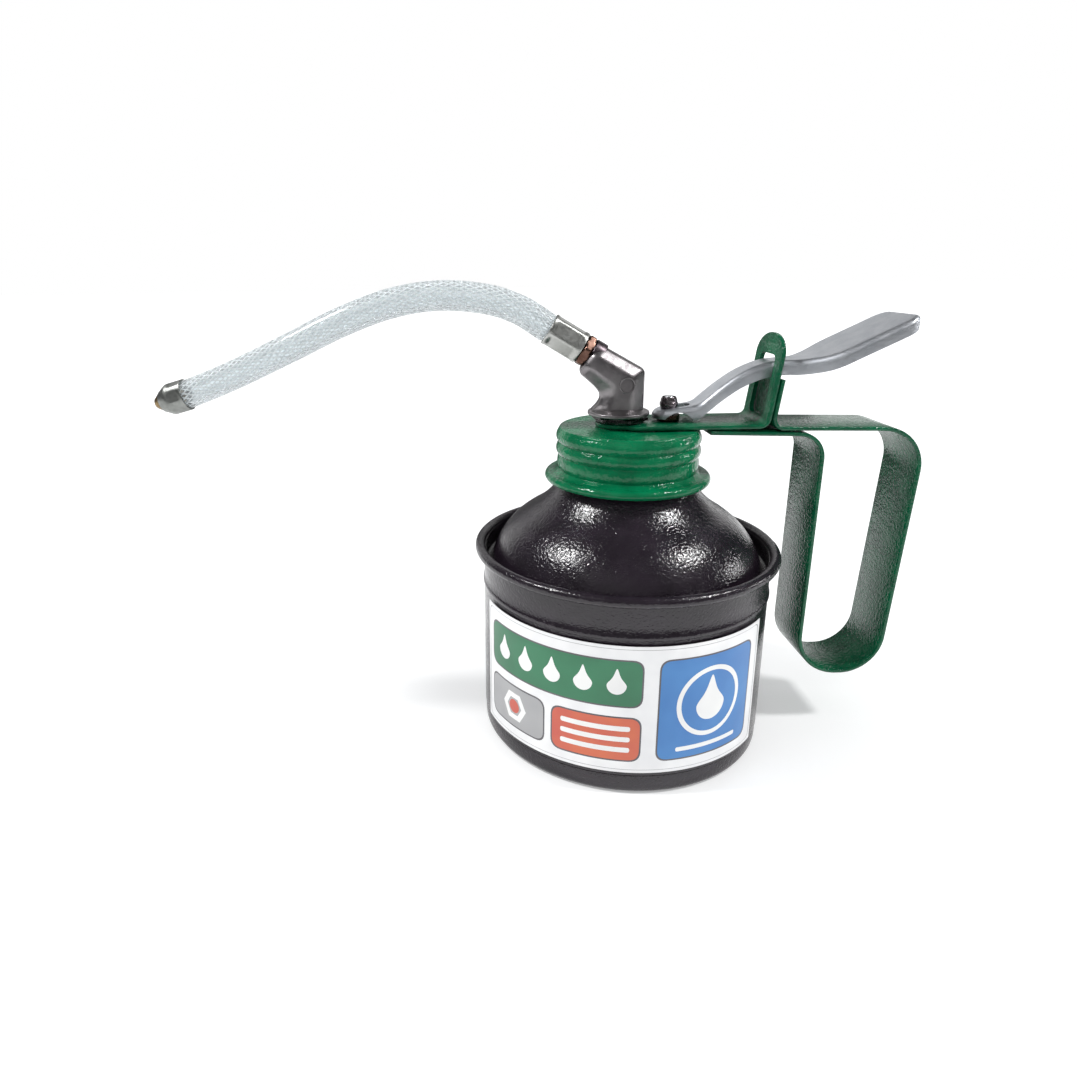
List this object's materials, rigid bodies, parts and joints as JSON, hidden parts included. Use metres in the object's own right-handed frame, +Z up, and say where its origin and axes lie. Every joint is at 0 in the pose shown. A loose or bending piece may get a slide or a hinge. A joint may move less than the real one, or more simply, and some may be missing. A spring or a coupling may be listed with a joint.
{
  "type": "hand oil dispenser",
  "caption": "Round tin with a domed shoulder, a screw cap that carries a thumb-lever pump, a strip handle and a braided clear hose as its spout.",
  "frame": {"origin": "centre of the tin's flat bottom, on the plane it stands on", "axes": "+Z up along the tin's axis, +X towards the handle and the lever's paddle, -X towards the spout"},
  "size_m": [0.2217, 0.09, 0.1353],
  "materials": {
    "can_body": "glossy hammered black paint",
    "can_base": "glossy hammered black paint",
    "can_shoulder": "glossy hammered black paint",
    "label": "printed film with plain colour panels",
    "cap_gasket": "dull black rubber",
    "screw_cap": "glossy hammered green paint",
    "guide_strip": "glossy hammered green paint",
    "handle_strip": "glossy hammered green paint",
    "lever": "satin zinc plate",
    "elbow_nut": "darkened steel",
    "spout_elbow": "plated casting, dark and glossy",
    "hose_nipple": "machined brass with dark flats",
    "hose_ferrule": "crimped, bright",
    "spout_hose": "clear with a white braid inside the wall",
    "tip_ferrule": "crimped, bright",
    "tip_nozzle": "machined brass",
    "pump_head": "plated casting",
    "pump_head_gasket": "dull black rubber",
    "gland_nut": "machined brass, darkened",
    "gland_packing": "off-white nylon",
    "pump_barrel": "drawn tube",
    "foot_valve": "machined brass",
    "ball_pin": "bright pin",
    "suction_tube": "plated tube",
    "return_spring": "spring wire",
    "outlet_spring": "spring wire",
    "outlet_ball": "polished bearing ball",
    "inlet_ball": "polished bearing ball",
    "plunger_rod": "plated rod",
    "rod_nut": "darkened steel",
    "piston": "machined brass",
    "piston_cup": "dull black rubber",
    "piston_nut": "machined brass"
  },
  "bodies": {
    "can": {"can_body": "can_body", "can_base": "can_base", "can_shoulder": "can_shoulder", "label": "label"},
    "cap_seal": {"cap_gasket": "cap_gasket"},
    "cap": {"screw_cap": "screw_cap", "guide_strip": "guide_strip", "handle_strip": "handle_strip", "elbow_nut": "elbow_nut", "spout_elbow": "spout_elbow", "hose_nipple": "hose_nipple", "hose_ferrule": "hose_ferrule", "spout_hose": "spout_hose", "tip_ferrule": "tip_ferrule", "tip_nozzle": "tip_nozzle", "pump_head": "pump_head", "pump_head_gasket": "pump_head_gasket", "gland_nut": "gland_nut", "gland_packing": "gland_packing", "pump_barrel": "pump_barrel", "foot_valve": "foot_valve", "ball_pin": "ball_pin", "suction_tube": "suction_tube", "return_spring": "return_spring", "outlet_spring": "outlet_spring"},
    "lever": {"lever": "lever"},
    "plunger": {"plunger_rod": "plunger_rod", "rod_nut": "rod_nut", "piston": "piston", "piston_cup": "piston_cup", "piston_nut": "piston_nut"},
    "outlet_ball": {"outlet_ball": "outlet_ball"},
    "inlet_ball": {"inlet_ball": "inlet_ball"}
  },
  "joints": [
    {"name": "cap_lift", "type": "slide", "parent": "can", "child": "cap_seal", "axis": [0, 0, 1], "range_m": [0, 0.095]},
    {"name": "cap_turn", "type": "hinge", "parent": "cap_seal", "child": "cap", "pos_m": [0, 0, 0.09], "axis": [0, 0, 1], "range_deg": [0, 810]},
    {"name": "lever_press", "type": "hinge", "parent": "cap", "child": "lever", "pos_m": [0.04031, 0, 0.1076], "axis": [0, 1, 0], "range_deg": [0, 18], "stiffness_Nm_per_rad": 0.5, "springref_deg": -14.32},
    {"name": "plunger_stroke", "type": "slide", "parent": "cap", "child": "plunger", "axis": [0, 0, 1], "range_m": [0, 0.0095], "deforming": ["return_spring"]},
    {"name": "outlet_ball_lift", "type": "slide", "parent": "cap", "child": "outlet_ball", "axis": [0, 0, 1], "range_m": [0, 0.0012], "stiffness_N_per_m": 40, "springref_m": -0.001, "deforming": ["outlet_spring"]},
    {"name": "inlet_ball_lift", "type": "slide", "parent": "cap", "child": "inlet_ball", "axis": [0, 0, 1], "range_m": [0, 0.0013]}
  ],
  "couplings": [
    {"joint": "plunger_stroke", "follows": "lever_press", "m_per_rad": 0.0291}
  ]
}
